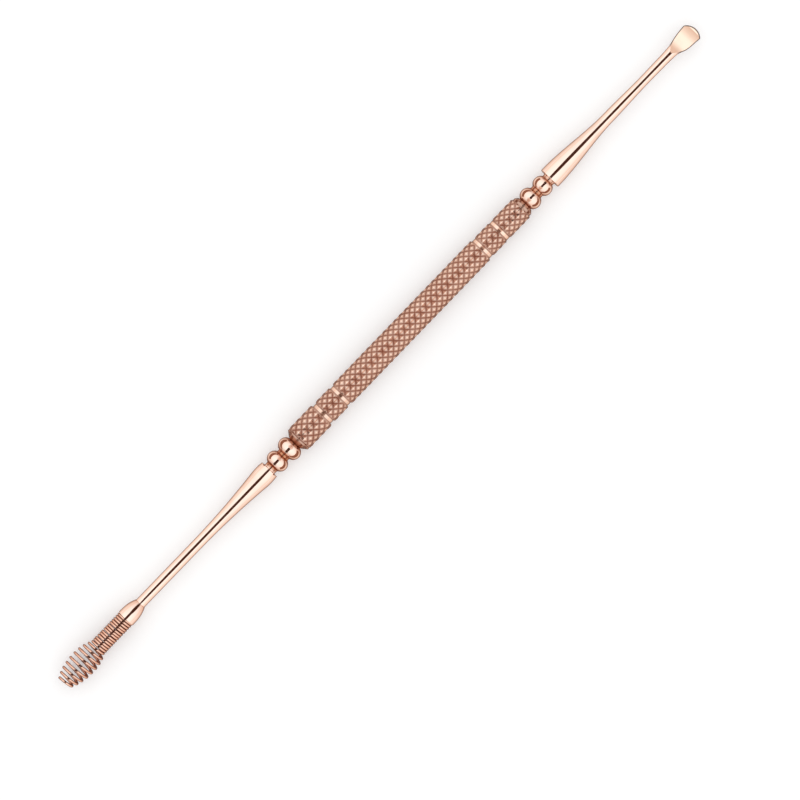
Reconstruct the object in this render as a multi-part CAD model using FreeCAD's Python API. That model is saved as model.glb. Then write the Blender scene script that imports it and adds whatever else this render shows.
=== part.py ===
import FreeCAD, Part
import math
import os

from FreeCAD import Vector

# Double-ended hand tool: a wire spiral on one end, a small spade on the other, a knurled grip between.
# Millimetres. X is the tool's axis, from the spiral (-X) to the spade (+X), and +Z comes out of the
# spade's face. The origin is on the axis, at the middle of the grip's long knurled band.

# Grip bar: five knurled bands with smooth grooves between them. Band radii are at the knurl's crests.
LONG_BAND_LENGTH = 32.9
LONG_BAND_R = 2.28
SHORT_BAND_LENGTH = 3.3
SPIRAL_SHORT_BAND_R = 2.28
BLADE_SHORT_BAND_R = 2.17
SPIRAL_END_BAND_LENGTH = 5.34
SPIRAL_END_BAND_R = 2.40
BLADE_END_BAND_LENGTH = 4.74
BLADE_END_BAND_R = 2.14
GROOVE_WIDTH = 0.78
GROOVE_R = 1.90
BAND_CHAMFER = 0.10
SPIRAL_LAND_LENGTH = 0.30
SPIRAL_LAND_R = 2.27
SPIRAL_NOSE_LENGTH = 0.67
SPIRAL_NOSE_R = 1.40
BLADE_LAND_LENGTH = 0.45
BLADE_LAND_R = 1.88
BLADE_NOSE_LENGTH = 0.48
BLADE_NOSE_R = 1.45

# Connectors: two turned beads with a tang at each end, pressed into the grip and into the shank.
TANG_R = 0.80
TANG_LENGTH = 4.0
BORE_END_GAP = 0.15
SPIRAL_BEADS = [(-31.80, 1.94, 1.30), (-28.95, 2.14, 1.32)]     # centre, radius, radius of the rounding
SPIRAL_NECKS = [1.10, 1.15, 1.20]
BLADE_BEADS = [(28.27, 1.95, 1.40), (31.15, 1.78, 1.40)]
BLADE_NECKS = [1.20, 1.15, 1.12]

# Spiral shank: thin rod that flares to a crowned base.
SPIRAL_SHANK_R = 0.935
SPIRAL_FLARE_START = -51.5
SPIRAL_FLARE_END = -36.2
SPIRAL_FLARE_R = 1.73
SPIRAL_CROWN_X = -35.0
SPIRAL_CROWN_R = 1.79
SPIRAL_BASE_X = -33.7
SPIRAL_BASE_R = 1.69
TENON_R = 0.60
TENON_LENGTH = 2.6

# Collar: bell pressed on the shank's tenon, with a spigot inside the spiral's first turns.
COLLAR_MOUTH_X = -67.8
COLLAR_TAIL_X = -64.37
COLLAR_MOUTH_R = 1.61
COLLAR_TAIL_R = 0.98
COLLAR_STRAIGHT = 0.30
COLLAR_TAIL_SLOPE = 0.53
COLLAR_TAIL_REACH = 0.90
COLLAR_CROWN_REACH = 1.25
SPIGOT_R = 1.08
SPIGOT_LENGTH = 1.5

# Spiral: one wire, wound close for the neck and open for the barrel-shaped head. Right-handed.
WIRE_D = 0.45
NECK_COIL_R = 1.335
NECK_PITCH = 0.478
NECK_TURNS = 13.5
SPIRAL_GAP = 0.055
HEAD_LENGTH = 7.85
HEAD_TURNS = 8.5
HEAD_PITCH_SWELL = 0.13
HEAD_COIL_R = 2.17
HEAD_CREST_FROM_NECK = 3.30
HEAD_NECK_REACH = 4.20
HEAD_TIP_REACH = 5.25
POINTS_PER_TURN = 14

# Blade shank: a cone that narrows to a thin rod, with the spade forged and ground on its end.
BLADE_BASE_X = 32.8
BLADE_BASE_R = 1.96
BASE_CORNER = 0.18
CONE_START = 33.2
CONE_END = 46.8
CONE_END_R = 1.0
WAIST_X = 55.6
WAIST_R = 0.83

# Spade sections: x, half width, sideways shift, centre height, half height of the ellipse.
SPADE_SECTIONS = [
    (55.6, 0.83, 0.00, 0.00, 0.83),
    (58.5, 0.86, 0.00, 0.00, 0.85),
    (61.2, 0.92, -0.01, 0.00, 0.88),
    (62.2, 1.00, -0.02, 0.07, 0.82),
    (62.8, 1.15, -0.06, 0.12, 0.74),
    (63.5, 1.38, -0.13, 0.17, 0.61),
    (64.3, 1.54, -0.15, 0.21, 0.48),
    (65.1, 1.62, -0.14, 0.26, 0.35),
    (66.0, 1.70, -0.15, 0.35, 0.27),
    (66.7, 1.76, -0.15, 0.48, 0.25),
    (67.7, 1.80, -0.15, 0.70, 0.28),
]
LOFT_DEGREE = 3
FACE_HOLLOW_R = 9.0
FACE_LOW_X = 64.68
FACE_LOW_Z = 0.34
RIM_Z = 0.60
RIM_START_X = 66.2
END_ARC_R = 2.23
END_ARC_X = 65.02
END_ARC_Y = -0.31
SPADE_CLEAR = 3.0


def at(x, r):
    return Vector(x, 0, r)


def straight(*points):
    """Straight edges from point to point, each point an (x, radius) pair."""
    return [Part.LineSegment(at(*a), at(*b)).toShape() for a, b in zip(points, points[1:])]


def bezier(*poles):
    curve = Part.BezierCurve()
    curve.setPoles([at(*pole) for pole in poles])
    return [curve.toShape()]


def arc(start, middle, end):
    return [Part.Arc(at(*start), at(*middle), at(*end)).toShape()]


def eased(start, end):
    """A taper that leaves one radius and meets the other along the axis."""
    third = (end[0] - start[0]) / 3
    return bezier(start, (start[0] + third, start[1]), (end[0] - third, end[1]), end)


def turned(edges, x_start, x_end):
    """Solid of revolution from an outline that starts and ends on the axis."""
    outline = Part.Wire(edges + straight((x_end, 0), (x_start, 0)))
    return Part.Face(outline).revolve(Vector(0, 0, 0), Vector(1, 0, 0), 360)


def blind_bore(mouth_x, inward, radius, depth):
    """Cutter for a blind hole that enters the part at mouth_x; inward is +1 or -1 along X."""
    return Part.makeCylinder(radius, depth, Vector(mouth_x, 0, 0), Vector(inward, 0, 0))


def band(x_start, x_end, radius):
    """Outline points of one knurled band with its two small chamfers."""
    return [
        (x_start, radius - BAND_CHAMFER),
        (x_start + BAND_CHAMFER, radius),
        (x_end - BAND_CHAMFER, radius),
        (x_end, radius - BAND_CHAMFER),
    ]


def grip_bar():
    long_end = LONG_BAND_LENGTH / 2
    short_start = long_end + GROOVE_WIDTH
    short_end = short_start + SHORT_BAND_LENGTH
    end_start = short_end + GROOVE_WIDTH
    spiral_land = -(end_start + SPIRAL_END_BAND_LENGTH)
    spiral_nose = spiral_land - SPIRAL_LAND_LENGTH
    blade_land = end_start + BLADE_END_BAND_LENGTH
    blade_nose = blade_land + BLADE_LAND_LENGTH
    bands = [
        (spiral_land, -end_start, SPIRAL_END_BAND_R),
        (-short_end, -short_start, SPIRAL_SHORT_BAND_R),
        (-long_end, long_end, LONG_BAND_R),
        (short_start, short_end, BLADE_SHORT_BAND_R),
        (end_start, blade_land, BLADE_END_BAND_R),
    ]
    left = spiral_nose - SPIRAL_NOSE_LENGTH
    right = blade_nose + BLADE_NOSE_LENGTH
    points = [(left, 0), (left, SPIRAL_NOSE_R), (spiral_nose, SPIRAL_LAND_R), (spiral_land, SPIRAL_LAND_R)]
    for x_start, x_end, radius in bands:
        if points[-1][0] < x_start:
            points.append((x_start, GROOVE_R))
        points += band(x_start, x_end, radius)
        if x_end < blade_land:
            points.append((x_end, GROOVE_R))
    points += [(blade_land, BLADE_LAND_R), (blade_nose, BLADE_LAND_R), (right, BLADE_NOSE_R), (right, 0)]
    bar = turned(straight(*points), left, right)
    depth = TANG_LENGTH + BORE_END_GAP
    bar = bar.cut(blind_bore(left, 1, TANG_R, depth))
    return bar.cut(blind_bore(right, -1, TANG_R, depth)), left, right


def connector(x_start, x_end, beads, necks):
    """Tang, neck, bead, neck, bead, neck, tang. Each bead is rounded with its own arc."""
    edges = straight((x_start - TANG_LENGTH, 0), (x_start - TANG_LENGTH, TANG_R), (x_start, TANG_R))
    here = (x_start, TANG_R)
    for (centre, radius, rounding), neck_before, neck_after in zip(beads, necks, necks[1:]):
        rise = centre - bead_reach(radius, rounding, neck_before)
        fall = centre + bead_reach(radius, rounding, neck_after)
        edges += straight(here, (here[0], neck_before)) if here[1] != neck_before else []
        edges += straight((here[0], neck_before), (rise, neck_before))
        edges += arc((rise, neck_before), (centre, radius), (fall, neck_after))
        here = (fall, neck_after)
    tail = x_end + TANG_LENGTH
    edges += straight(here, (x_end, here[1]), (x_end, TANG_R), (tail, TANG_R), (tail, 0))
    return turned(edges, x_start - TANG_LENGTH, tail)


def bead_reach(radius, rounding, neck_r):
    """Half length of a bead, from its crest to where its rounding meets the neck."""
    return math.sqrt(rounding ** 2 - (rounding - (radius - neck_r)) ** 2)


def spiral_shank():
    shoulder = COLLAR_TAIL_X
    tip = shoulder - TENON_LENGTH
    middle = (SPIRAL_FLARE_START + SPIRAL_FLARE_END) / 2
    edges = straight(
        (tip, 0), (tip, TENON_R), (shoulder, TENON_R), (shoulder, SPIRAL_SHANK_R),
        (SPIRAL_FLARE_START, SPIRAL_SHANK_R),
    )
    edges += bezier(
        (SPIRAL_FLARE_START, SPIRAL_SHANK_R), (middle, SPIRAL_SHANK_R), (SPIRAL_FLARE_END, SPIRAL_FLARE_R)
    )
    edges += arc(
        (SPIRAL_FLARE_END, SPIRAL_FLARE_R), (SPIRAL_CROWN_X, SPIRAL_CROWN_R), (SPIRAL_BASE_X, SPIRAL_BASE_R)
    )
    edges += straight((SPIRAL_BASE_X, SPIRAL_BASE_R), (SPIRAL_BASE_X, 0))
    bore = blind_bore(SPIRAL_BASE_X, -1, TANG_R, TANG_LENGTH + BORE_END_GAP)
    return turned(edges, tip, SPIRAL_BASE_X).cut(bore)


def collar():
    spigot_tip = COLLAR_MOUTH_X - SPIGOT_LENGTH
    crown_x = COLLAR_MOUTH_X + COLLAR_STRAIGHT
    edges = straight(
        (spigot_tip, 0), (spigot_tip, SPIGOT_R), (COLLAR_MOUTH_X, SPIGOT_R),
        (COLLAR_MOUTH_X, COLLAR_MOUTH_R), (crown_x, COLLAR_MOUTH_R),
    )
    edges += bezier(
        (crown_x, COLLAR_MOUTH_R),
        (crown_x + COLLAR_CROWN_REACH, COLLAR_MOUTH_R),
        (COLLAR_TAIL_X - COLLAR_TAIL_REACH, COLLAR_TAIL_R + COLLAR_TAIL_REACH * COLLAR_TAIL_SLOPE),
        (COLLAR_TAIL_X, COLLAR_TAIL_R),
    )
    edges += straight((COLLAR_TAIL_X, COLLAR_TAIL_R), (COLLAR_TAIL_X, 0))
    bore = blind_bore(COLLAR_TAIL_X, -1, TENON_R, TENON_LENGTH + BORE_END_GAP)
    return turned(edges, spigot_tip, COLLAR_TAIL_X).cut(bore)


def spiral_point(turn):
    """Centre line of the wire after so many turns, counted from the collar towards the tip.

    The neck's radius is constant. The head's radius follows two quarter ellipses that meet at its
    crest, and its pitch is a little wider in the middle than at its ends.
    """
    start = COLLAR_MOUTH_X - SPIRAL_GAP - WIRE_D / 2
    neck_end = start - NECK_TURNS * NECK_PITCH
    if turn <= NECK_TURNS:
        x = start - turn * NECK_PITCH
        radius = NECK_COIL_R
    else:
        share = (turn - NECK_TURNS) / HEAD_TURNS
        x = neck_end - HEAD_LENGTH * (share - HEAD_PITCH_SWELL * math.sin(2 * math.pi * share) / (2 * math.pi))
        past_crest = neck_end - HEAD_CREST_FROM_NECK - x
        reach = HEAD_TIP_REACH if past_crest > 0 else HEAD_NECK_REACH
        radius = HEAD_COIL_R * math.sqrt(1 - (past_crest / reach) ** 2)
    angle = -2 * math.pi * turn
    return Vector(x, radius * math.cos(angle), radius * math.sin(angle))


def coil_spring():
    turns = NECK_TURNS + HEAD_TURNS
    count = int(turns * POINTS_PER_TURN)
    path = Part.BSplineCurve()
    path.interpolate([spiral_point(turns * i / count) for i in range(count + 1)])
    spine = Part.Wire(path.toShape())
    section = Part.Wire(Part.Circle(path.value(0), path.tangent(0)[0], WIRE_D / 2).toShape())
    pipe = Part.BRepOffsetAPI.MakePipeShell(spine)
    pipe.setFrenetMode(True)
    pipe.add(section)
    pipe.build()
    pipe.makeSolid()
    return pipe.shape()


def spade_section(x, half_width, shift, centre_z, half_height):
    """Ellipse across the tool, its first point on the +Y side; a circle where both halves are equal."""
    centre = Vector(x, shift, centre_z)
    if half_width == half_height:
        ring = Part.Circle(centre, Vector(1, 0, 0), half_width)
        ring.XAxis = Vector(0, 1, 0)
    else:
        ring = Part.Ellipse(centre + Vector(0, half_width, 0), centre + Vector(0, 0, half_height), centre)
    return Part.Wire(ring.toShape())


def spade():
    """Flared end with a hollow-ground face, a level rim and a rounded front."""
    sections = [spade_section(*section) for section in SPADE_SECTIONS]
    body = Part.makeLoft(sections, True, False, False, LOFT_DEGREE)
    face_cutter = Part.makeCylinder(
        FACE_HOLLOW_R, 2 * SPADE_CLEAR,
        Vector(FACE_LOW_X, -SPADE_CLEAR, FACE_LOW_Z + FACE_HOLLOW_R), Vector(0, 1, 0),
    )
    rim_cutter = Part.makeBox(SPADE_CLEAR, 2 * SPADE_CLEAR, SPADE_CLEAR, Vector(RIM_START_X, -SPADE_CLEAR, RIM_Z))
    front = Part.makeCylinder(END_ARC_R, 2 * SPADE_CLEAR, Vector(END_ARC_X, END_ARC_Y, -SPADE_CLEAR))
    shank_side = Part.makeBox(
        END_ARC_X - WAIST_X, 2 * SPADE_CLEAR, 2 * SPADE_CLEAR, Vector(WAIST_X, -SPADE_CLEAR, -SPADE_CLEAR)
    )
    return body.common(shank_side.fuse(front)).cut(face_cutter).cut(rim_cutter)


def blade_shank():
    corner = BASE_CORNER
    edges = straight((BLADE_BASE_X, 0), (BLADE_BASE_X, BLADE_BASE_R - corner))
    edges += arc(
        (BLADE_BASE_X, BLADE_BASE_R - corner),
        (BLADE_BASE_X + corner * (1 - math.sqrt(0.5)), BLADE_BASE_R - corner * (1 - math.sqrt(0.5))),
        (BLADE_BASE_X + corner, BLADE_BASE_R),
    )
    edges += straight((BLADE_BASE_X + corner, BLADE_BASE_R), (CONE_START, BLADE_BASE_R))
    edges += eased((CONE_START, BLADE_BASE_R), (CONE_END, CONE_END_R))
    edges += eased((CONE_END, CONE_END_R), (WAIST_X, WAIST_R))
    edges += straight((WAIST_X, WAIST_R), (WAIST_X, 0))
    rod = turned(edges, BLADE_BASE_X, WAIST_X)
    rod = rod.cut(blind_bore(BLADE_BASE_X, 1, TANG_R, TANG_LENGTH + BORE_END_GAP))
    return rod.fuse(spade())


def main():
    bar, spiral_face, blade_face = grip_bar()
    pieces = {
        "grip_bar": bar,
        "spiral_end_connector": connector(SPIRAL_BASE_X, spiral_face, SPIRAL_BEADS, SPIRAL_NECKS),
        "blade_end_connector": connector(blade_face, BLADE_BASE_X, BLADE_BEADS, BLADE_NECKS),
        "spiral_shank": spiral_shank(),
        "spiral_collar": collar(),
        "coil_spring": coil_spring(),
        "blade_shank": blade_shank(),
    }
    os.makedirs("parts", exist_ok=True)
    for node, shape in pieces.items():
        shape.exportStep(f"parts/{node}.step")
        box = shape.optimalBoundingBox(True)
        print(
            f"{node}: valid {shape.isValid()}, solids {len(shape.Solids)}, volume {shape.Volume:.2f}, "
            f"x {box.XMin:.2f}..{box.XMax:.2f}, y {box.YMin:.2f}..{box.YMax:.2f}, z {box.ZMin:.2f}..{box.ZMax:.2f}"
        )


main()
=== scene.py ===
import math

import bmesh
import bpy
import numpy as np
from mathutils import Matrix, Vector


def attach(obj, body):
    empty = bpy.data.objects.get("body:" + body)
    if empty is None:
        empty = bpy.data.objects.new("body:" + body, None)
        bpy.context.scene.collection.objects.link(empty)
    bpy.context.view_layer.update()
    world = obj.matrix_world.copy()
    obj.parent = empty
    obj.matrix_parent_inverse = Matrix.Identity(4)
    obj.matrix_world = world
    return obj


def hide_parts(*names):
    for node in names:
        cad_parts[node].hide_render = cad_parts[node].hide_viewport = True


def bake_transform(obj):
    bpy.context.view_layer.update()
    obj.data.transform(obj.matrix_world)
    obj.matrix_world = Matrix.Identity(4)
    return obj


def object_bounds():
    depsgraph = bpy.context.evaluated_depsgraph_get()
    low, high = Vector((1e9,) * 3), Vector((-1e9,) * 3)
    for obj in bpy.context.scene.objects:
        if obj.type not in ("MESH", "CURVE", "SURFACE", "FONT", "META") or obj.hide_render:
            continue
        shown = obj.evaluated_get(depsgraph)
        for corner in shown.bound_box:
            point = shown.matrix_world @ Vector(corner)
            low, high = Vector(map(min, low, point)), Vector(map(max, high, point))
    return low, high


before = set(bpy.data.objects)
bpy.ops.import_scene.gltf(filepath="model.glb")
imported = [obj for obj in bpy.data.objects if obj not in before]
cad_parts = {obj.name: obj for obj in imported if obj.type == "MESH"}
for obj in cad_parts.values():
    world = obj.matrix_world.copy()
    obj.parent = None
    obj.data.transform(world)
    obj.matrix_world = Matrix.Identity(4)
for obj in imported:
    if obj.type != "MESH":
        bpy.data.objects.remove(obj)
cad_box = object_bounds()


# Grip bar: one turned steel bar, plated rose gold. Five bands are rolled with a diamond knurl, smooth
# grooves part them, and each end is faced down to a short land and a tapered nose. Both ends are drilled
# for the connectors' tangs. It is the piece that everything else is pressed on to. Sizes are in mm.
MM = 0.001
CREASE_ANGLE = math.radians(28)
KNURL_AROUND = 10
KNURL_STEPS = 12
AROUND = KNURL_AROUND * KNURL_STEPS
TIP_ROUNDING = 0.12
KNURL_RUN_OUT = 0.35
BAND_CHAMFER = 0.20
END_RING = 0.15
END_RING_HEIGHT = 0.45
GROOVE_R = 2.00
TANG_R = 0.80
BORE_DEPTH = 4.15
LAND_ROUNDING = 0.04
LAND_ROW_STEP = 0.1
NOSE_LAND = [(-26.95, 2.27), (-26.66, 2.27)]
TAIL_LAND = [(26.06, 1.88), (26.50, 1.88)]
NOSE = (-27.62, 1.40)
TAIL = (26.98, 1.45)
ROLLED_TONE = (1.0, 0.76, 0.62)
# painted shade: the dark colour that the knurl's valleys are mixed towards
VALLEY_SHADE_TONE = (0.22, 0.07, 0.04)
# x of the band's two ends, crest radius, knurl depth, length of one diamond along the bar
BANDS = [
    (-26.65, -21.31, 2.394, 0.13, 1.35),
    (-20.53, -17.23, 2.28, 0.13, 1.28),
    (-16.45, 16.45, 2.28, 0.13, 1.28),
    (17.23, 20.53, 2.17, 0.12, 1.28),
    (21.31, 26.05, 2.14, 0.12, 1.30),
]
# how far the plating is dulled and painted darker as shade at a band's corners, on the bar's bare ends,
# and down in a groove
CORNER_SHADE_AND_DULLING = 0.7
CORNER_FADE = 0.08
END_SHADE_AND_DULLING = 0.6
GROOVE_SHADE_AND_DULLING = 0.35


def soften(line, rounding, steps=4):
    """Rounds the corners of an (x, r) line that turn by more than 15 degrees.

    Each becomes a parabola B(s) = (1-s)^2 A + 2s(1-s) P + s^2 C, where P is the corner and A and C lie on
    its two sides, the rounding's length away, or half way along a shorter side.
    """
    line = np.asarray(line, float)
    back, ahead = line[:-2] - line[1:-1], line[2:] - line[1:-1]
    back_length, ahead_length = np.hypot(*back.T), np.hypot(*ahead.T)
    start = line[1:-1] + back * (np.minimum(rounding, back_length / 2) / back_length)[:, None]
    end = line[1:-1] + ahead * (np.minimum(rounding, ahead_length / 2) / ahead_length)[:, None]
    s = np.linspace(0, 1, steps)[None, :, None]
    bends = (1 - s) ** 2 * start[:, None] + 2 * s * (1 - s) * line[1:-1][:, None] + s ** 2 * end[:, None]
    straightness = -(back * ahead).sum(1) / (back_length * ahead_length)
    sharp = straightness < math.cos(math.radians(15))
    kept = [bend if turns else point[None] for bend, turns, point in zip(bends, sharp, line[1:-1])]
    return np.vstack([line[:1], *kept, line[-1:]])


def divided(line, step):
    """The same (x, r) line with extra points, so that no two are further apart than step."""
    lengths = np.hypot(*np.diff(line, axis=0).T)
    counts = np.maximum(1, np.ceil(lengths / step)).astype(int)
    shares = np.concatenate([k + np.arange(n) / n for k, n in enumerate(counts)] + [[len(counts)]])
    return np.stack([np.interp(shares, np.arange(len(line)), line[:, k]) for k in (0, 1)], 1)


def sunk(x, r, reach=0.6):
    """How far each row lies below the highest one within reach of it along the axis, as a share of reach."""
    near = np.abs(x[:, None] - x[None, :]) < reach
    return np.clip((np.where(near, r[None, :], 0).max(1) - r) / reach, 0, 1)


def store_recess(mesh, values):
    """Stores each point's recess, 0 on a crown to 1 in a hollow: the plating's painted shade and roughness.
    """
    mesh.attributes.new("recess", "FLOAT", "POINT").data.foreach_set("value", values.astype(np.float32))


def skin(name, points, level, recess):
    """Closed mesh over a grid of points, rows along the piece and columns round it.

    The first and the last row are single points. Each cell is cut along the diagonal on which level
    changes least, so that cuts follow valleys and ridges. recess is stored as a point attribute.
    """
    rows, columns = points.shape[:2]
    index = 1 + np.arange((rows - 2) * columns).reshape(rows - 2, columns)
    a, d = index[:-1], index[1:]
    b, c = np.roll(a, -1, 1), np.roll(d, -1, 1)
    h, k = level[1:-2], level[2:-1]
    forward = np.abs(h - np.roll(k, -1, 1)) <= np.abs(np.roll(h, -1, 1) - k)
    first = np.stack([a, b, np.where(forward, c, d)], -1).reshape(-1, 3)
    second = np.stack([np.where(forward, a, b), c, d], -1).reshape(-1, 3)
    start, end = np.zeros(columns, int), np.full(columns, index[-1, -1] + 1)
    first_fan = np.stack([start, np.roll(index[0], -1), index[0]], 1)
    last_fan = np.stack([index[-1], np.roll(index[-1], -1), end], 1)
    faces = np.vstack([first_fan, first, second, last_fan])

    def listed(grid):
        """The grid's values in the order of the mesh's points."""
        return np.concatenate([grid[:1, 0], grid[1:-1].reshape(-1, *grid.shape[2:]), grid[-1:, 0]])

    mesh = bpy.data.meshes.new(name)
    mesh.from_pydata((listed(points) * MM).tolist(), [], faces.tolist())
    mesh.shade_smooth()
    mesh.set_sharp_from_angle(angle=CREASE_ANGLE)
    store_recess(mesh, listed(np.broadcast_to(recess, (rows, columns))))
    piece = bpy.data.objects.new(name, mesh)
    bpy.context.scene.collection.objects.link(piece)
    return piece


def turned(x, r):
    """Grid of a shape turned about the X axis: column j of n is at (x, r cos t, r sin t), t = 2 pi j / n."""
    t = 2 * np.pi * np.arange(r.shape[1]) / r.shape[1]
    return np.stack([np.broadcast_to(x[:, None], r.shape), r * np.cos(t), r * np.sin(t)], -1)


def knurl(start, end, crest, depth, period):
    """x of each row, its radii round the bar, and the height of the surface from 0 in a groove to 1 at a tip.

    Two sets of grooves cross, at whole numbers of p = x/period + 10t/2pi and of q = x/period - 10t/2pi. A
    flank rises evenly from each groove to half way to the next, and the surface is the lower of the two
    flanks. With u for the height still missing, the metal lost is depth * (sqrt(u^2 + e^2) - e), scaled to
    be the full depth in a groove: e rounds the tips. The grooves run out evenly towards the band's ends,
    which are cut back by its chamfer and keep a plain ring of middling height.
    """
    rows = round((end - start) / period * KNURL_STEPS)
    x = np.linspace(start, end, rows + 1)
    i, j = np.arange(rows + 1)[:, None], np.arange(AROUND)[None, :]
    flanks = [1 - np.abs(2 * ((i + sign * j) / KNURL_STEPS % 1) - 1) for sign in (1, -1)]
    height = np.minimum(*flanks)
    from_end = np.minimum(x - start, end - x)[:, None]
    missing = np.sqrt((1 - height) ** 2 + TIP_ROUNDING ** 2) - TIP_ROUNDING
    missing = missing * np.clip(from_end / KNURL_RUN_OUT, 0, 1)
    r = crest - depth * missing / (math.sqrt(1 + TIP_ROUNDING ** 2) - TIP_ROUNDING)
    height = np.where(from_end < END_RING, END_RING_HEIGHT, height)
    return x, np.minimum(r, crest - np.maximum(0, BAND_CHAMFER - from_end)), height


def smooth_part(*corners):
    """x, radii and knurl height of a plain turned stretch of the bar, with its corners rounded."""
    x, r = divided(soften(corners, LAND_ROUNDING, 3), LAND_ROW_STEP).T
    return x, np.repeat(r[:, None], AROUND, 1), np.ones((len(x), AROUND))


parts = [smooth_part((NOSE[0] + BORE_DEPTH, 0), (NOSE[0] + BORE_DEPTH, TANG_R), (NOSE[0], TANG_R), NOSE,
                     *NOSE_LAND)]
for k, band in enumerate(BANDS):
    parts.append(knurl(*band))
    if k + 1 < len(BANDS):
        parts.append(smooth_part((band[1], GROOVE_R), (BANDS[k + 1][0], GROOVE_R)))
parts.append(smooth_part(*TAIL_LAND, TAIL, (TAIL[0], TANG_R), (TAIL[0] - BORE_DEPTH, TANG_R),
                         (TAIL[0] - BORE_DEPTH, 0)))
bar_x = np.concatenate([part[0] for part in parts])
bar_r = np.concatenate([part[1] for part in parts])
bar_height = np.concatenate([part[2] for part in parts])
rolled = np.concatenate([np.full(len(part[0]), part[2].min() < 1) for part in parts])[:, None]
band_ends = np.array([edge for band in BANDS for edge in band[:2]])
corner = np.clip((BAND_CHAMFER - np.abs(bar_x[:, None] - band_ends).min(1)) / CORNER_FADE, 0, 1)
beyond = (bar_x < band_ends.min()) | (bar_x > band_ends.max())
smooth_shade_and_dulling = np.where(beyond, END_SHADE_AND_DULLING, GROOVE_SHADE_AND_DULLING * sunk(bar_x, bar_r.max(1)))
shade_and_dulling = np.maximum(CORNER_SHADE_AND_DULLING * corner, smooth_shade_and_dulling)
# Through recess, knurl valleys, band corners, grooves and bare ends get painted shade and more roughness.
grip = skin("grip", turned(bar_x, bar_r), bar_r, np.where(rolled, 1 - bar_height, shade_and_dulling[:, None]))

# The plating: colour, roughness and bump height of rose gold over steel, shared by every piece. Recess
# makes it rougher and paints shade on it, mixing its colour towards the darker second colour. A haze
# varies both, and fine marks run along or round the piece.
HAZE_SCALE = 420
HAZE_TINT = 0.30
HAZE_ROUGHNESS = 0.09
MARKS_ROUGHNESS = 0.05
RECESS_ROUGHNESS = 0.22
MARK_DEPTH = 2e-6

plating = bpy.data.node_groups.new("rose_gold_plating", "ShaderNodeTree")
for label, kind, value in (
    ("Place", "NodeSocketVector", None),
    ("Marks", "NodeSocketVector", (20000, 500, 500)),
    ("Crown", "NodeSocketColor", (0.95, 0.66, 0.52, 1)),
    ("Shade_And_Stain", "NodeSocketColor", (0.5, 0.25, 0.17, 1)),
    ("Recess", "NodeSocketFloat", 0),
    ("Polish", "NodeSocketFloat", 0.1),
):
    entry = plating.interface.new_socket(label, in_out="INPUT", socket_type=kind)
    if value is not None:
        entry.default_value = value
plating.interface.new_socket("Color", in_out="OUTPUT", socket_type="NodeSocketColor")
plating.interface.new_socket("Roughness", in_out="OUTPUT", socket_type="NodeSocketFloat")
plating.interface.new_socket("Height", in_out="OUTPUT", socket_type="NodeSocketFloat")


def node(tree, kind, joined=(), **settings):
    """A new node with its settings. joined pairs an input's name or number with a value or a socket."""
    made = tree.nodes.new(kind)
    for key, value in settings.items():
        setattr(made, key, value)
    for key, value in dict(joined).items():
        if isinstance(value, bpy.types.NodeSocket):
            tree.links.new(value, made.inputs[key])
        else:
            made.inputs[key].default_value = value
    return made


def multiply_add(tree, value, factor, addend):
    """value times factor plus addend, as a socket."""
    return node(tree, "ShaderNodeMath", {0: value, 1: factor, 2: addend}, operation="MULTIPLY_ADD").outputs[0]


given = plating.nodes.new("NodeGroupInput").outputs
scaled = node(plating, "ShaderNodeVectorMath", {0: given["Place"], 1: given["Marks"]}, operation="MULTIPLY")
marks = node(plating, "ShaderNodeTexNoise", {"Vector": scaled.outputs[0], "Scale": 1, "Detail": 2}).outputs[0]
haze_look = {"Vector": given["Place"], "Scale": HAZE_SCALE, "Detail": 4}
haze = node(plating, "ShaderNodeTexNoise", haze_look).outputs[0]
# the haze mixes in random stains, and recess mixes in painted shade
stain_and_shade = multiply_add(plating, haze, HAZE_TINT, multiply_add(plating, given["Recess"], 1.0, -HAZE_TINT / 2))
tint = node(plating, "ShaderNodeMix", {"Factor": stain_and_shade, "A": given["Crown"], "B": given["Shade_And_Stain"]},
            data_type="RGBA", clamp_factor=True)
dulled = multiply_add(plating, given["Recess"], RECESS_ROUGHNESS, given["Polish"])
clouded = multiply_add(plating, haze, HAZE_ROUGHNESS, multiply_add(plating, marks, MARKS_ROUGHNESS, dulled))
rough = multiply_add(plating, clouded, 1.0, -(HAZE_ROUGHNESS + MARKS_ROUGHNESS) / 2)
result = plating.nodes.new("NodeGroupOutput").inputs
plating.links.new(tint.outputs["Result"], result["Color"])
plating.links.new(rough, result["Roughness"])
plating.links.new(marks, result["Height"])


def plated(name, piece, crown, hollow, polish, marks_per_metre, bump):
    """Gives the piece a rose gold material from the plating group; hollow is the colour of its painted shade.
    """
    material = bpy.data.materials.new(name)
    material.use_nodes = True
    tree = material.node_tree
    shader = tree.nodes["Principled BSDF"]
    where = tree.nodes.new("ShaderNodeTexCoord").outputs["Object"]
    recess_of = node(tree, "ShaderNodeAttribute", attribute_name="recess").outputs["Fac"]
    finish = node(tree, "ShaderNodeGroup", node_tree=plating)
    finish.inputs["Marks"].default_value = marks_per_metre
    finish.inputs["Crown"].default_value = (*crown, 1)
    finish.inputs["Shade_And_Stain"].default_value = (*hollow, 1)
    finish.inputs["Polish"].default_value = polish
    tree.links.new(where, finish.inputs["Place"])
    tree.links.new(recess_of, finish.inputs["Recess"])
    relief = node(tree, "ShaderNodeBump", {"Height": finish.outputs["Height"], "Strength": bump})
    relief.inputs["Distance"].default_value = MARK_DEPTH
    shader.inputs["Metallic"].default_value = 1.0
    tree.links.new(finish.outputs["Color"], shader.inputs["Base Color"])
    tree.links.new(finish.outputs["Roughness"], shader.inputs["Roughness"])
    tree.links.new(relief.outputs["Normal"], shader.inputs["Normal"])
    piece.data.materials.append(material)


plated("rolled_grip", grip, ROLLED_TONE, VALLEY_SHADE_TONE, 0.08, (9000, 900, 900), 0.3)
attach(grip, "tool")
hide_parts("grip_bar")
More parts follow.
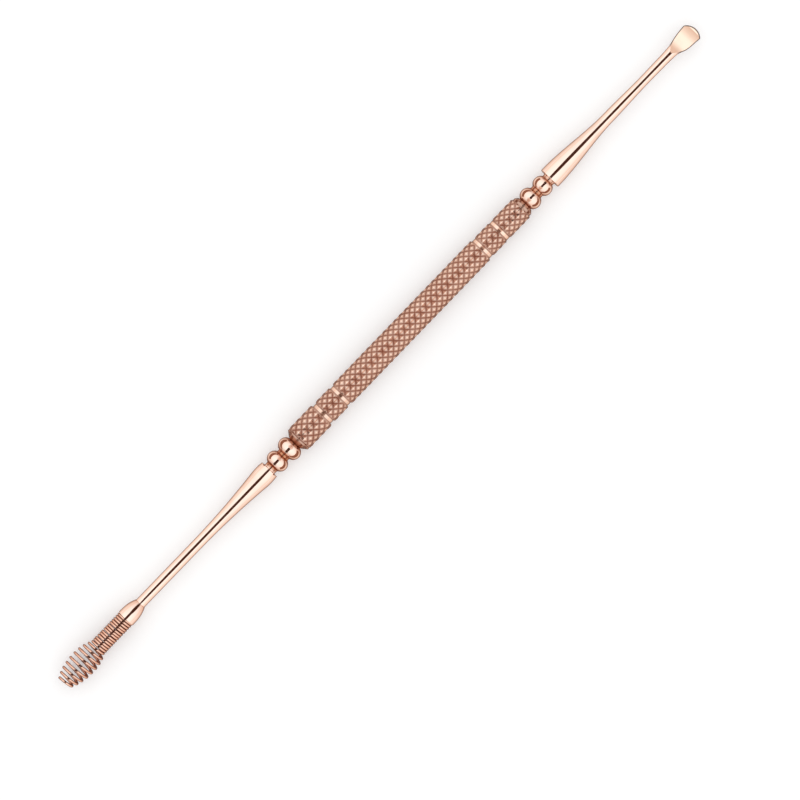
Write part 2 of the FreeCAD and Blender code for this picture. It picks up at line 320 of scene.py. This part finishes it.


# Connectors: two turned beads between short necks, with a tang at each end that is pressed into the grip
# on one side and into a shank on the other. Bright polished; down in the necks the plating is rougher and
# painted darker as shade.

# x of the two shoulders, then each bead's x, radius and rounding, then the radii of the three necks
CONNECTORS = {
    "spiral_end_connector": (
        -33.70, -27.62, [(-31.80, 1.94, 1.30), (-28.95, 2.14, 1.32)], [1.10, 1.15, 1.20],
    ),
    "blade_end_connector": (
        26.98, 32.80, [(28.27, 1.95, 1.40), (31.15, 1.78, 1.40)], [1.20, 1.15, 1.12],
    ),
}
TANG_LENGTH = 4.0
CORNER_ROUNDING = 0.05
TURNED_ROW_STEP = 0.35
ROUND_COLUMNS = 128
CROWN_TONE = (0.97, 0.77, 0.66)
# painted shade: the dark colour that the turned pieces' hollows are mixed towards
HOLLOW_SHADE_TONE = (0.55, 0.24, 0.13)
MIRROR_POLISH = 0.06
TURNING_MARKS = (16000, 500, 500)


def bead(centre, radius, rounding, neck_before, neck_after):
    """Half-round outline, neck to neck: x = centre + p sin a, r = radius - p + p cos a, p the rounding."""
    angles = [math.acos(1 - (radius - neck) / rounding) for neck in (neck_before, neck_after)]
    a = np.linspace(-angles[0], angles[1], 33)
    return np.stack([centre + rounding * np.sin(a), radius - rounding + rounding * np.cos(a)], 1)


def turned_piece(name, line):
    """A plain turned piece from its closed (x, r) outline, which starts and ends on the axis."""
    x, r = divided(soften(line, CORNER_ROUNDING), TURNED_ROW_STEP).T
    radii = np.repeat(r[:, None], ROUND_COLUMNS, 1)
    # Recess from sunk paints shade in the piece's hollows, such as the connectors' necks, and makes them
    # rougher.
    return skin(name, turned(x, radii), np.zeros(radii.shape), sunk(x, r)[:, None])


for name, (x_start, x_end, beads, necks) in CONNECTORS.items():
    outline = [(x_start - TANG_LENGTH, 0), (x_start - TANG_LENGTH, TANG_R), (x_start, TANG_R)]
    outline.append((x_start, necks[0]))
    for shape, before, after in zip(beads, necks, necks[1:]):
        outline += bead(*shape, before, after).tolist()
    outline += [(x_end, necks[-1]), (x_end, TANG_R), (x_end + TANG_LENGTH, TANG_R), (x_end + TANG_LENGTH, 0)]
    beaded = turned_piece(name + "_beads", outline)
    plated(name + "_polish", beaded, CROWN_TONE, HOLLOW_SHADE_TONE, MIRROR_POLISH, TURNING_MARKS, 0.15)
    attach(beaded, "tool")
    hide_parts(name)


# Spiral shank: a thin steel rod turned with a long flare to a crowned base. The base is drilled for the
# connector's tang, and a tenon at the thin end takes the collar. Mirror polished and plated.
SHANK_BASE_X = -33.70
SHANK_TIP_X = -64.37
SHANK_R = 0.935
TENON_R = 0.60
TENON_LENGTH = 2.6


def bezier(*poles, count=48):
    """Points of a Bezier curve: each pole weighted by the binomial (n over k) (1-s)^(n-k) s^k."""
    poles, s = np.array(poles, float), np.linspace(0, 1, count)[:, None]
    n = len(poles) - 1
    return sum(math.comb(n, k) * (1 - s) ** (n - k) * s ** k * poles[k] for k in range(n + 1))


flare = bezier((-51.5, SHANK_R), (-43.85, SHANK_R), (-36.2, 1.73))
crown_x = np.linspace(-36.2, SHANK_BASE_X, 12)[1:]
crown_arch = np.polyfit((-36.2, -35.0, SHANK_BASE_X), (1.73, 1.79, 1.69), 2)
crown = np.stack([crown_x, np.polyval(crown_arch, crown_x)], 1)
shank = turned_piece("spiral_shank_rod", [
    (SHANK_TIP_X - TENON_LENGTH, 0), (SHANK_TIP_X - TENON_LENGTH, TENON_R), (SHANK_TIP_X, TENON_R),
    (SHANK_TIP_X, SHANK_R), *flare.tolist(), *crown.tolist(), (SHANK_BASE_X, TANG_R),
    (SHANK_BASE_X - BORE_DEPTH, TANG_R), (SHANK_BASE_X - BORE_DEPTH, 0),
])
plated("spiral_shank_polish", shank, CROWN_TONE, HOLLOW_SHADE_TONE, MIRROR_POLISH, TURNING_MARKS, 0.12)
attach(shank, "tool")
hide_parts("spiral_shank")


# Spiral collar: a small turned bell pressed on the shank's tenon. Its spigot plugs the first turns of the
# spiral, which is brazed to it in a shallow seat at the mouth.
MOUTH_X = -67.80
MOUTH_R = 1.61
SPIGOT_R = 1.08
SPIGOT_LENGTH = 1.5
SEAT_R = 1.57
SEAT_DEPTH = 0.45
TENON_END_GAP = 0.15

bell = bezier((-67.5, MOUTH_R), (-66.25, MOUTH_R), (-65.27, 1.457), (SHANK_TIP_X, 0.98))
collar = turned_piece("spiral_collar_bell", [
    (MOUTH_X - SPIGOT_LENGTH, 0), (MOUTH_X - SPIGOT_LENGTH, SPIGOT_R), (MOUTH_X + SEAT_DEPTH, SPIGOT_R),
    (MOUTH_X + SEAT_DEPTH, SEAT_R), (MOUTH_X, SEAT_R), (MOUTH_X, MOUTH_R),
    *bell.tolist(), (SHANK_TIP_X, TENON_R),
    (SHANK_TIP_X - TENON_LENGTH - TENON_END_GAP, TENON_R), (SHANK_TIP_X - TENON_LENGTH - TENON_END_GAP, 0),
])
plated("spiral_collar_polish", collar, CROWN_TONE, HOLLOW_SHADE_TONE, MIRROR_POLISH, TURNING_MARKS, 0.15)
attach(collar, "tool")
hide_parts("spiral_collar")


# Spiral: one hard-drawn spring wire of 0.45 mm, wound close for the neck and open for the barrel-shaped
# head, then plated. On the real tool it is the one piece that flexes, its neck bending and the head
# following; here it is built in one fixed shape.
WIRE_R = 0.225
FIRST_TURN_GAP = 0.28
TUCKED_TURNS = 1
NECK_R = 1.335
NECK_TURNS = 13.5
NECK_PITCH = 0.478
HEAD_TURNS = 8.5
HEAD_LENGTH = 7.85
HEAD_R = 2.165
HEAD_GATHER = 0.13
CREST_FROM_NECK = 3.30
REACH_BEFORE_CREST = 4.20
REACH_PAST_CREST = 5.25
# slow waves in the spacing of the neck's turns: height in mm, length in turns, phase
UNEVEN_WAVES = [(0.024, 2.9, 0.0), (0.013, 1.7, 1.0)]
STEPS_PER_TURN = 64
WIRE_COLUMNS = 16
CAP_RINGS = 5
CAP_BULGE = 0.6
FLANK_SHARE = 0.42
INNER_SHADE_AND_DULLING = 0.4
# the plating's colour darkened for the spiral alone, as painted shade of its close turns
WIRE_SHADED_TONE = (0.84, 0.54, 0.41)
WIRE_FLANK_SHADE_TONE = (0.33, 0.09, 0.045)


def wire_line(turn):
    """Centre line of the wire, turn by turn from the collar.

    In the neck x falls by one pitch a turn, with a slight unevenness, and the radius stays. In the head s
    runs from 0 to 1, x = neck end - length * (s - gather sin(2 pi s)/2 pi), and the radius is
    HEAD_R sqrt(1 - (d/reach)^2), with d the distance past the crest and a longer reach beyond it.
    """
    start = MOUTH_X - FIRST_TURN_GAP
    neck_end = start - NECK_TURNS * NECK_PITCH
    fade = np.clip(turn / 1.5, 0, 1) * np.clip((NECK_TURNS - turn) / 1.5, 0, 1)
    waves = [height * np.sin(2 * np.pi * turn / length + phase) for height, length, phase in UNEVEN_WAVES]
    uneven = fade * sum(waves)
    s = np.clip((turn - NECK_TURNS) / HEAD_TURNS, 0, 1)
    head_x = neck_end - HEAD_LENGTH * (s - HEAD_GATHER * np.sin(2 * np.pi * s) / (2 * np.pi))
    past = neck_end - CREST_FROM_NECK - head_x
    reach = np.where(past > 0, REACH_PAST_CREST, REACH_BEFORE_CREST)
    head_r = HEAD_R * np.sqrt(1 - (past / reach) ** 2)
    in_neck = turn <= NECK_TURNS
    x = np.where(in_neck, start - turn * NECK_PITCH + uneven, head_x)
    r = np.where(in_neck, NECK_R, head_r)
    angle = -2 * np.pi * turn
    return np.stack([x, r * np.cos(angle), r * np.sin(angle)], 1)


def wire(name):
    """A tube round the centre line C(s): C + w (cos a N + sin a B).

    T is the line's direction, N the part of the outward radial that is square to T, and B = T x N. The
    ends are rounded off: w shrinks as a quarter circle. The tube starts inside the collar's seat, and its
    flanks and inner side are painted darker, as the shade between close turns, and made rougher.
    """
    turns = NECK_TURNS + HEAD_TURNS
    turn = np.linspace(-TUCKED_TURNS, turns, int((TUCKED_TURNS + turns) * STEPS_PER_TURN) + 1)
    centre = wire_line(turn)
    along = np.gradient(centre, axis=0)
    along /= np.linalg.norm(along, axis=1, keepdims=True)
    cap = np.linspace(0, np.pi / 2, CAP_RINGS + 1)
    push = np.concatenate([-np.cos(cap[:-1]), np.zeros(len(turn)), np.sin(cap[1:])]) * WIRE_R * CAP_BULGE
    width = np.concatenate([np.sin(cap[:-1]), np.ones(len(turn)), np.cos(cap[1:])]) * WIRE_R
    pick = np.clip(np.arange(-CAP_RINGS, len(turn) + CAP_RINGS), 0, len(turn) - 1)
    centre, along = centre[pick] + along[pick] * push[:, None], along[pick]
    radial = centre * (0, 1, 1)
    radial -= (radial * along).sum(1, keepdims=True) * along
    radial /= np.linalg.norm(radial, axis=1, keepdims=True)
    side = np.cross(along, radial)
    a = 2 * np.pi * np.arange(WIRE_COLUMNS) / WIRE_COLUMNS
    ring = np.cos(a)[None, :, None] * radial[:, None] + np.sin(a)[None, :, None] * side[:, None]
    # painted shade between close turns: the flanks, and less the inner side, mix towards the flank colour
    flank = np.clip((1 - np.abs(np.cos(a))) / FLANK_SHARE, INNER_SHADE_AND_DULLING * (np.cos(a) < 0), 1)
    return skin(name, centre[:, None] + width[:, None, None] * ring, np.zeros(ring.shape[:2]), flank[None, :])


spiral = wire("spiral_wire")
plated("spiral_wire_polish", spiral, WIRE_SHADED_TONE, WIRE_FLANK_SHADE_TONE, 0.10, (900, 6000, 6000), 0.2)
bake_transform(spiral)
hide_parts("coil_spring")


# Blade shank: a steel cone that narrows to a thin rod, its end forged out into a small spade. The spade's
# face is ground hollow, with a level rim left across the front, and the front is rounded. Polished all over.
BLADE_BASE_X = 32.80
BLADE_BASE_R = 1.96
BASE_CORNER = 0.18
WAIST_X = 55.6
WAIST_R = 0.83
# x, half width, sideways shift, centre height and half height of the section
SPADE = np.array([
    (55.6, 0.83, 0.00, 0.00, 0.83),
    (58.5, 0.86, 0.00, 0.00, 0.85),
    (61.2, 0.92, -0.01, 0.00, 0.88),
    (62.2, 1.00, -0.02, 0.07, 0.82),
    (62.8, 1.15, -0.06, 0.12, 0.74),
    (63.5, 1.38, -0.13, 0.17, 0.61),
    (64.3, 1.54, -0.15, 0.21, 0.48),
    (65.1, 1.62, -0.14, 0.26, 0.35),
    (66.0, 1.70, -0.15, 0.35, 0.27),
    (66.7, 1.76, -0.15, 0.48, 0.25),
    (67.7, 1.80, -0.15, 0.70, 0.28),
])
HOLLOW_R = 9.0
HOLLOW_X = 64.68
HOLLOW_Z = 0.34
RIM_Z = 0.556
RIM_SLOPE = 0.05
RIM_START_X = 66.2
FRONT_R = 2.23
FRONT_X = 65.02
FRONT_Y = -0.31
FRONT_ROWS_START = 64.5
FRONT_ROWS = 76
FRONT_FIRST_GUESS_X = 66.6
FRONT_PASSES = 12
LIP = 0.17
EDGE_WIDTH = 0.24
EDGE_FADE = 0.06
# where the painted dark outline beside the spade's face starts along x, and over how far it fades in
SIDE_SHADE_START_X = 62.0
SIDE_SHADE_FADE = 0.8
BASE_SHADE_AND_DULLING = 0.35
FACE_COLUMNS = 14
FLANK_COLUMNS = 20
SPADE_CREASE_ANGLE = math.radians(14)
# painted shade: the near black that the spade's outline and the cone's base corner are mixed towards
SPADE_SHADE_TONE = (0.17, 0.13, 0.115)


def through(x, stations, values):
    """Smooth curve through the stations: between two of them, a cubic that leaves each at its mean slope."""
    slopes = np.gradient(values, stations)
    k = np.clip(np.searchsorted(stations, x) - 1, 0, len(stations) - 2)
    span = stations[k + 1] - stations[k]
    s = np.clip((x - stations[k]) / span, 0, 1)
    return (
        (2 * s ** 3 - 3 * s ** 2 + 1) * values[k] + (s ** 3 - 2 * s ** 2 + s) * span * slopes[k]
        + (3 * s ** 2 - 2 * s ** 3) * values[k + 1] + (s ** 3 - s ** 2) * span * slopes[k + 1]
    )


def blade(name):
    """An upper and a lower sheet over the same columns q, from -1 to 1 across the tool.

    The section is an ellipse, half width a, shift s, centre height c and half height b. The face is the
    lower of the hollow, z = low + R - sqrt(R^2 - (x - x0)^2), and the rim's level, and it meets the ellipse
    at y = s +- a e, with e = sqrt(1 - ((face - c)/b)^2). Inner columns share out the width a e evenly, and
    outer ones the angle that is left to the widest point. The last rows are drawn out so that the final
    one lies on the front's circle, whose x at each column is found by repeating the two formulas.
    """
    bore_end = BLADE_BASE_X + BORE_DEPTH
    corner = [(BLADE_BASE_X, BLADE_BASE_R - BASE_CORNER), (BLADE_BASE_X, BLADE_BASE_R),
              (BLADE_BASE_X + BASE_CORNER, BLADE_BASE_R)]
    round_line = np.array([
        (bore_end, 0), (bore_end, TANG_R), (BLADE_BASE_X, TANG_R), corner[0],
        *bezier(*corner, count=6)[1:].tolist(),
        *bezier((33.2, BLADE_BASE_R), (37.73, BLADE_BASE_R), (42.27, 1.0), (46.8, 1.0)).tolist(),
        *bezier((46.8, 1.0), (49.73, 1.0), (52.67, WAIST_R), (WAIST_X, WAIST_R), count=24)[1:].tolist(),
    ])
    rod_x = np.arange(WAIST_X + 0.25, 61.3, 0.25)
    spade_x = np.arange(61.35, FRONT_ROWS_START, 0.05)
    front_share = np.linspace(0, 1, FRONT_ROWS)[:, None]
    q = np.arange(-FACE_COLUMNS - FLANK_COLUMNS, FACE_COLUMNS + FLANK_COLUMNS + 1)[None, :]
    inner = np.clip(q / FACE_COLUMNS, -1, 1)
    outer = np.clip((np.abs(q) - FACE_COLUMNS) / FLANK_COLUMNS, 0, 1)

    def section(x):
        """Half width, shift, centre, half height, face height, and the share e of the width it reaches."""
        a, s, c, b = (through(x, SPADE[:, 0], SPADE[:, k]) for k in (1, 2, 3, 4))
        hollow = HOLLOW_Z + HOLLOW_R - np.sqrt(np.maximum(0, HOLLOW_R ** 2 - (x - HOLLOW_X) ** 2))
        face = np.where(x > RIM_START_X, np.minimum(hollow, RIM_Z + RIM_SLOPE * (x - RIM_START_X)), hollow)
        rise = np.clip((face - c) / b, 0, 1)
        return a, s, c, b, np.maximum(face, c), np.minimum(np.sqrt(1 - rise ** 2), 1 - LIP / a)

    def across(a, s, e):
        """y of every column."""
        edge = np.arcsin(e)
        flank = np.sign(q) * np.sin(edge + outer * (np.pi / 2 - edge))
        return s + a * np.where(np.abs(q) <= FACE_COLUMNS, inner * e, flank)

    x = np.concatenate([round_line[:, 0], rod_x, spade_x])[:, None] * np.ones(q.shape)
    reach = np.full(q.shape, FRONT_FIRST_GUESS_X)
    for _ in range(FRONT_PASSES):
        a, s, c, b, face, e = section(reach)
        reach = FRONT_X + np.sqrt(np.maximum(0, FRONT_R ** 2 - (across(a, s, e) - FRONT_Y) ** 2))
    x = np.vstack([x, FRONT_ROWS_START + (reach - FRONT_ROWS_START) * front_share])
    a, s, c, b, face, e = section(x)
    plain = len(round_line)
    a[:plain] = b[:plain] = round_line[:, 1:]
    s[:plain] = c[:plain] = e[:plain] = 0
    y = across(a, s, e)
    out = np.abs(y - s) / np.maximum(a, 1e-9)
    half = b * np.sqrt(np.maximum(0, 1 - out ** 2))
    lipped = (e > 0) & (e >= 1 - LIP / np.maximum(a, 1e-9) - 1e-9)
    lip = (face - c) * np.sqrt(np.clip(1 - ((out - e) / np.maximum(1 - e, 1e-9)) ** 2, 0, 1))
    ground = (np.abs(q) <= FACE_COLUMNS) & (e > 0)
    upper = np.stack([x, y, np.where(ground, face, c + np.where(lipped, lip, half))], -1)
    lower = np.stack([x, y, c - half], -1)
    rows, columns = y.shape
    top = np.arange(rows * columns).reshape(rows, columns)
    under = top + rows * columns
    quads = [
        np.stack([top[:-1, :-1], top[1:, :-1], top[1:, 1:], top[:-1, 1:]], -1),
        np.stack([under[:-1, :-1], under[:-1, 1:], under[1:, 1:], under[1:, :-1]], -1),
        np.stack([under[-1, :-1], under[-1, 1:], top[-1, 1:], top[-1, :-1]], -1),
    ]
    faces = np.concatenate([group.reshape(-1, 4) for group in quads])
    points = np.concatenate([upper.reshape(-1, 3), lower.reshape(-1, 3)]) * MM
    mesh = bpy.data.meshes.new(name)
    mesh.from_pydata(points.tolist(), [], faces.tolist())
    # Painted shade: the cone's base corner, and a dark outline along the spade's front and beside its face,
    # made rougher too.
    base_shade_and_dulling = BASE_SHADE_AND_DULLING * np.concatenate([sunk(*round_line.T), np.zeros(rows - plain)])
    sunk_line = base_shade_and_dulling[:, None] * np.ones(q.shape)
    beside_face = np.clip((np.abs(q) - FACE_COLUMNS) / 3, 0, 1)
    at_side = np.clip((x - SIDE_SHADE_START_X) / SIDE_SHADE_FADE, 0, 1) * beside_face
    at_front = np.clip((x - reach + EDGE_WIDTH) / EDGE_FADE, 0, 1)
    edge_shade_and_dulling = np.maximum(at_side, at_front)
    store_recess(mesh, np.concatenate([np.maximum(sunk_line, edge_shade_and_dulling).ravel(), sunk_line.ravel()]))
    piece = bpy.data.objects.new(name, mesh)
    bpy.context.scene.collection.objects.link(piece)
    return piece


def weld(piece, distance):
    """Merges points that coincide, with the faces this leaves without any width, and marks sharp edges."""
    work = bmesh.new()
    work.from_mesh(piece.data)
    bmesh.ops.remove_doubles(work, verts=work.verts, dist=distance)
    bmesh.ops.dissolve_degenerate(work, edges=work.edges, dist=distance / 10)
    work.to_mesh(piece.data)
    work.free()
    piece.data.shade_smooth()
    piece.data.set_sharp_from_angle(angle=SPADE_CREASE_ANGLE)


spade = blade("blade_shank_and_spade")
weld(spade, 2e-6)
plated("blade_polish", spade, CROWN_TONE, SPADE_SHADE_TONE, MIRROR_POLISH, TURNING_MARKS, 0.12)
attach(spade, "tool")
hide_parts("blade_shank")


# Table: a pale matt board that the tool lies on. It shows white to the camera and in the metal, and keeps
# the tool's soft shadow.
TABLE_HALF = 3.0
TABLE_TONE = 0.82
TABLE_LIFT = 0.25

table_mesh = bpy.data.meshes.new("table")
corners = np.array([(-1, -1), (1, -1), (1, 1), (-1, 1)]) * TABLE_HALF
table_mesh.from_pydata([(x, y, cad_box[0].z) for x, y in corners], [], [(0, 1, 2, 3)])
table = bpy.data.objects.new("table", table_mesh)
bpy.context.scene.collection.objects.link(table)
board = bpy.data.materials.new("white_board")
board.use_nodes = True
tree = board.node_tree
surface = tree.nodes["Principled BSDF"]
surface.inputs["Base Color"].default_value = (TABLE_TONE, TABLE_TONE, TABLE_TONE, 1)
surface.inputs["Roughness"].default_value = 1.0
surface.inputs["Specular IOR Level"].default_value = 0.0
path = tree.nodes.new("ShaderNodeLightPath").outputs
seen = node(tree, "ShaderNodeMath", {0: path["Is Camera Ray"], 1: path["Is Glossy Ray"]}, operation="MAXIMUM")
seen = node(tree, "ShaderNodeMath", {0: seen.outputs[0], 1: path["Is Transmission Ray"]}, operation="MAXIMUM")
lift = node(tree, "ShaderNodeMath", {0: seen.outputs[0], 1: TABLE_LIFT}, operation="MULTIPLY")
surface.inputs["Emission Color"].default_value = (1, 1, 1, 1)
tree.links.new(lift.outputs[0], surface.inputs["Emission Strength"])
table_mesh.materials.append(board)


# Light: a white room, and in it a light tent over the tool, a little paler overhead than down its sides.
# The tent and the cards are seen only in the metal. A narrow dark card high over the tool draws the fine
# dark line along its crown, with a warm card behind it over the grip and a toned one over the spade's
# hollow. A card under the tool gives its dark edge, and low flags beside the beads their brown rings.
TENT_R = 0.5
TENT_HALF_LENGTH = 0.7
TENT_LEVEL = 1.25
# sine of the angle from straight up, and the share of the tent's level there
TENT_TONES = [(0.0, 1.0), (0.5, 0.99), (0.87, 0.92), (0.96, (0.92, 0.81, 0.75)), (1.0, (0.84, 0.69, 0.62))]

room = bpy.data.worlds.new("white_room")
room.use_nodes = True
room.node_tree.nodes["Background"].inputs["Color"].default_value = (1, 1, 1, 1)
room.node_tree.nodes["Background"].inputs["Strength"].default_value = 1.0
room.cycles.sampling_method = "NONE"
bpy.context.scene.world = room


def glowing(name, points, faces, axis, span, tones, level):
    """A lamp made of a mesh, seen only in the metal, that shines at level times its tone.

    The tone is read off the distance from the middle of the tool along one axis, as a share of span.
    """
    mesh = bpy.data.meshes.new(name)
    mesh.from_pydata(points, [], faces)
    lamp = bpy.data.objects.new(name, mesh)
    bpy.context.scene.collection.objects.link(lamp)
    material = bpy.data.materials.new(name + "_glow")
    material.use_nodes = True
    tree = material.node_tree
    tree.nodes.clear()
    place = tree.nodes.new("ShaderNodeTexCoord").outputs["Object"]
    along = node(tree, "ShaderNodeSeparateXYZ", {0: place}).outputs[axis]
    away = node(tree, "ShaderNodeMath", {0: along}, operation="ABSOLUTE").outputs[0]
    share = node(tree, "ShaderNodeMath", {0: away, 1: 1 / span}, operation="MULTIPLY").outputs[0]
    ramp = node(tree, "ShaderNodeValToRGB", {0: share})
    stops = ramp.color_ramp.elements
    while len(stops) < len(tones):
        stops.new(0.5)
    for stop, (position, tone) in zip(stops, tones):
        stop.position = position
        stop.color = (*np.broadcast_to(tone, 3), 1)
    glow = node(tree, "ShaderNodeEmission", {"Color": ramp.outputs["Color"], "Strength": level})
    out = tree.nodes.new("ShaderNodeOutputMaterial")
    tree.links.new(glow.outputs[0], out.inputs["Surface"])
    material.cycles.emission_sampling = "NONE"
    mesh.materials.append(material)
    lamp.visible_camera = False
    lamp.visible_diffuse = False
    lamp.visible_shadow = False


def card(name, outline, z, span, tones, level=1.0, axis="Y"):
    """A flat card at height z: its half width at each x comes from the outline."""
    points = [(x * MM, side * half * MM, z * MM) for x, half in outline for side in (-1, 1)]
    faces = [(k, k + 2, k + 3, k + 1) for k in range(0, len(points) - 2, 2)]
    glowing(name, points, faces, axis, span * MM, tones, level)


def even(tone):
    """The tones of a card of one colour."""
    return [(0.0, tone), (1.0, tone)]


t = np.linspace(-np.pi / 2, np.pi / 2, 97)
hoop = np.stack([TENT_R * np.sin(t), TENT_R * np.cos(t)], 1)
tent_points = [(x, y, z) for x in (-TENT_HALF_LENGTH, TENT_HALF_LENGTH) for y, z in hoop]
tent_faces = [(k, k + 1, k + 1 + len(hoop), k + len(hoop)) for k in range(len(hoop) - 1)]
glowing("light_tent", tent_points, tent_faces, "Y", TENT_R, TENT_TONES, TENT_LEVEL)

# Half widths of the crown card: its line is about 0.4 mm wide on the rods, cones and beads, all but gone on
# the knurl, and shows again down in each groove.
KNURL_LINE = 0.1
GROOVE_LINE = 2.8
crown_outline = [(-90, 2.4), (-66, 2.3), (-63, 3.5), (-57, 4.2), (-51.5, 4.3), (-36.2, 2.1), (-27.7, 1.9)]
crown_outline.append((-27.2, KNURL_LINE))
for (_, x_start, *_), (x_end, *_) in zip(BANDS, BANDS[1:]):
    crown_outline += [(x_start, KNURL_LINE), (x_start, GROOVE_LINE)]
    crown_outline += [(x_end, GROOVE_LINE), (x_end, KNURL_LINE)]
crown_outline += [(26.3, KNURL_LINE), (27.1, 1.9), (33.2, 1.9), (46.8, 3.8), (62.3, 4.6)]
card("crown_card", crown_outline, z=10.0, span=10.0, tones=even((0.07, 0.028, 0.018)))

GRIP_TONES = [(0.0, (0.85, 0.58, 0.48)), (0.6, (0.9, 0.68, 0.6)), (1.0, 1.0)]
card("grip_card", [(-27.0, 4.5), (26.2, 4.5)], z=10.2, span=4.5, tones=GRIP_TONES)

EDGE_TONES = [
    (0.0, (0.26, 0.16, 0.13)), (0.085, (0.32, 0.22, 0.19)), (0.13, (0.75, 0.58, 0.50)),
    (0.2, (0.97, 0.80, 0.71)), (1.0, 1.0),
]
card("edge_card", [(-112, 40.0), (96, 40.0)], z=-2.39, span=40.0, tones=EDGE_TONES)

# The spade card's x, and the share of the tent's level there: both ends of the hollow face mirror its warm
# ends, and the middle its pale middle.
SPADE_CARD = [
    (62.2, (0.632, 0.48, 0.40)), (63.2, (0.68, 0.544, 0.464)), (64.4, (0.792, 0.728, 0.656)),
    (65.4, (1.0, 0.976, 0.92)), (67.3, (1.0, 0.976, 0.92)), (68.3, (0.784, 0.72, 0.648)),
    (69.2, (0.68, 0.544, 0.464)), (75.0, (0.68, 0.544, 0.464)),
]
SPADE_SPAN = 80.0
spade_tones = [(x / SPADE_SPAN, tone) for x, tone in SPADE_CARD]
spade_outline = [(x, 6.0) for x, _ in SPADE_CARD]
card("spade_card", spade_outline, z=10.4, span=SPADE_SPAN, tones=spade_tones, level=TENT_LEVEL, axis="X")

FLAG_ENDS = [(-33.6, -26.8), (26.1, 32.7)]
FLAG_Y = 2.6
FLAG_HEIGHTS = (0.75, 1.95)
flag_points = [
    (x * MM, side * FLAG_Y * MM, z * MM)
    for x_ends in FLAG_ENDS for side in (-1, 1) for x in x_ends for z in FLAG_HEIGHTS
]
flag_faces = [(k, k + 1, k + 3, k + 2) for k in range(0, len(flag_points), 4)]
glowing("bead_flags", flag_points, flag_faces, "Y", span=1.0, tones=even((0.30, 0.13, 0.08)), level=1.0)


# Camera: straight above, turned so that the spiral is low on the left and the spade high on the right,
# with a long lens that keeps the tool's proportions.
LENS = 200.0
SENSOR = 36.0
FIELD_WIDTH = 131.8
AIM = (-10.55, -7.56)
TURN = 46.08

camera_data = bpy.data.cameras.new("camera")
camera_data.lens = LENS
camera_data.sensor_width = SENSOR
camera_data.clip_start = 0.01
camera_data.clip_end = 20
camera = bpy.data.objects.new("camera", camera_data)
camera.location = (AIM[0] * MM, AIM[1] * MM, LENS / SENSOR * FIELD_WIDTH * MM)
camera.rotation_euler = (0, 0, math.radians(-TURN))
bpy.context.scene.collection.objects.link(camera)
bpy.context.scene.camera = camera
bpy.context.scene.view_settings.view_transform = "Standard"
